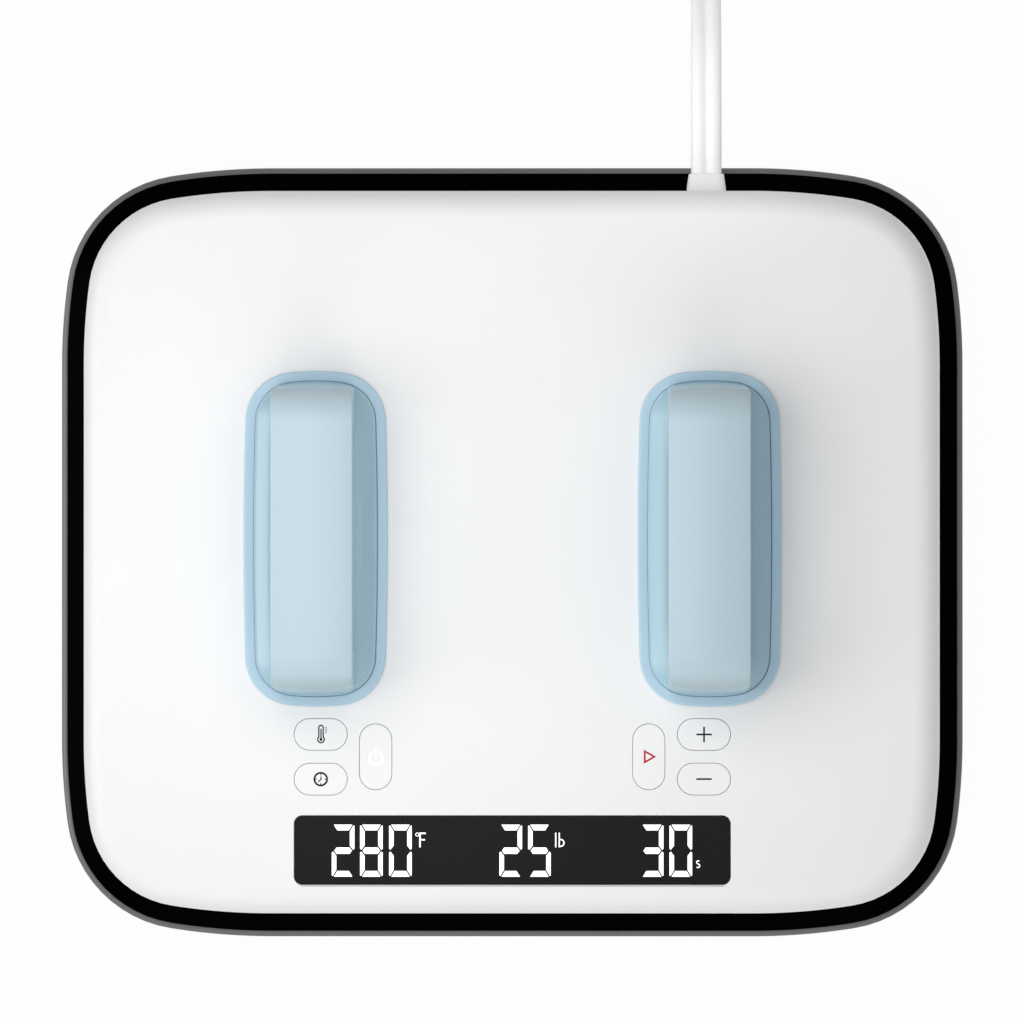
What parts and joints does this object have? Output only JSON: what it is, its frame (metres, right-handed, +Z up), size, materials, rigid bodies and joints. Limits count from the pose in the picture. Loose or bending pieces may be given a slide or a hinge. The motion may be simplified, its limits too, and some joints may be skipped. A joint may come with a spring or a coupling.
{
  "type": "handheld heat press",
  "caption": "Handheld heat press: a flat heated plate in a low rounded housing, pressed down by upright grip handles, with push buttons, a display strip and a flat mains cord.",
  "frame": {"origin": "middle of the pressing face, below the middle of the housing", "axes": "+X to the user's right along the length, +Y to the back where the cord leaves, +Z up"},
  "size_m": [0.3476, 0.5398, 0.119],
  "materials": {
    "plate_coating": "smooth non-stick coating on a cast aluminium plate",
    "element_sheath": "steel tube darkened by heat",
    "bright_steel": "zinc plated",
    "aluminium_part": "machined or sheet, bare",
    "insulation": "needled fibre blanket",
    "white_shell": "fine satin moulded plastic",
    "black_ring": "polished black plastic",
    "grey_skirt": "satin heat-proof plastic",
    "blue_trim": "satin moulded plastic",
    "blue_body": "satin moulded plastic",
    "blue_grip": "soft satin plastic",
    "white_button": "satin moulded plastic with a printed mark",
    "switch_plastic": "moulded plastic",
    "dark_window": "dark tinted clear plastic",
    "circuit_board": "glass-fibre board with solder mask",
    "component_case": "moulded plastic",
    "blue_case": "moulded plastic",
    "white_cord": "satin flexible plastic",
    "lead_sleeve": "silicone on woven glass",
    "pin_metal": "nickel-washed brass"
  },
  "bodies": {
    "press": {"heat_plate": "plate_coating", "heating_element": "element_sheath", "plate_spacers": "bright_steel", "plate_screws": "bright_steel", "thermal_cutout": "component_case", "temperature_sensor": "aluminium_part", "sensor_screws": "bright_steel", "insulation_blanket": "insulation", "heat_reflector": "aluminium_part", "chassis_plate": "bright_steel", "lower_housing": "grey_skirt", "bezel_ring": "black_ring", "top_shell": "white_shell", "housing_screws": "bright_steel", "handle_nuts": "bright_steel", "load_cell_spacers": "aluminium_part", "load_cell_screws": "bright_steel", "control_board": "circuit_board", "board_screws": "bright_steel", "tact_switches": "switch_plastic", "buzzer": "component_case", "display_window": "dark_window", "display_module": "circuit_board", "power_board": "circuit_board", "relay": "blue_case", "transformer": "component_case", "terminal_block": "component_case", "strain_relief_boot": "white_cord", "cord_clamp": "component_case", "clamp_screws": "bright_steel", "mains_leads": "lead_sleeve", "heater_leads": "lead_sleeve", "cord_stretch": "white_cord", "cord_coil": "white_cord", "plug_body": "white_cord", "plug_pins": "pin_metal", "left_handle_flange": "blue_trim", "left_handle_body": "blue_body", "left_grip_cover": "blue_grip", "left_handle_core": "bright_steel", "left_load_bridge": "bright_steel", "left_load_cell": "aluminium_part", "right_handle_flange": "blue_trim", "right_handle_body": "blue_body", "right_grip_cover": "blue_grip", "right_handle_core": "bright_steel", "right_load_bridge": "bright_steel", "right_load_cell": "aluminium_part"},
    "temperature_button": {"temperature_button": "white_button", "temperature_switch_plunger": "switch_plastic"},
    "timer_button": {"timer_button": "white_button", "timer_switch_plunger": "switch_plastic"},
    "power_button": {"power_button": "white_button", "power_switch_plunger": "switch_plastic"},
    "start_button": {"start_button": "white_button", "start_switch_plunger": "switch_plastic"},
    "plus_button": {"plus_button": "white_button", "plus_switch_plunger": "switch_plastic"},
    "minus_button": {"minus_button": "white_button", "minus_switch_plunger": "switch_plastic"}
  },
  "joints": [
    {"name": "temperature_button_press", "type": "slide", "parent": "press", "child": "temperature_button", "axis": [0, 0, -1], "range_m": [0, 0.0006], "stiffness_N_per_m": 1500, "springref_m": -0.0005},
    {"name": "timer_button_press", "type": "slide", "parent": "press", "child": "timer_button", "axis": [0, 0, -1], "range_m": [0, 0.0006], "stiffness_N_per_m": 1500, "springref_m": -0.0005},
    {"name": "power_button_press", "type": "slide", "parent": "press", "child": "power_button", "axis": [0, 0, -1], "range_m": [0, 0.0006], "stiffness_N_per_m": 1500, "springref_m": -0.0005},
    {"name": "start_button_press", "type": "slide", "parent": "press", "child": "start_button", "axis": [0, 0, -1], "range_m": [0, 0.0006], "stiffness_N_per_m": 1500, "springref_m": -0.0005},
    {"name": "plus_button_press", "type": "slide", "parent": "press", "child": "plus_button", "axis": [0, 0, -1], "range_m": [0, 0.0006], "stiffness_N_per_m": 1500, "springref_m": -0.0005},
    {"name": "minus_button_press", "type": "slide", "parent": "press", "child": "minus_button", "axis": [0, 0, -1], "range_m": [0, 0.0006], "stiffness_N_per_m": 1500, "springref_m": -0.0005}
  ]
}
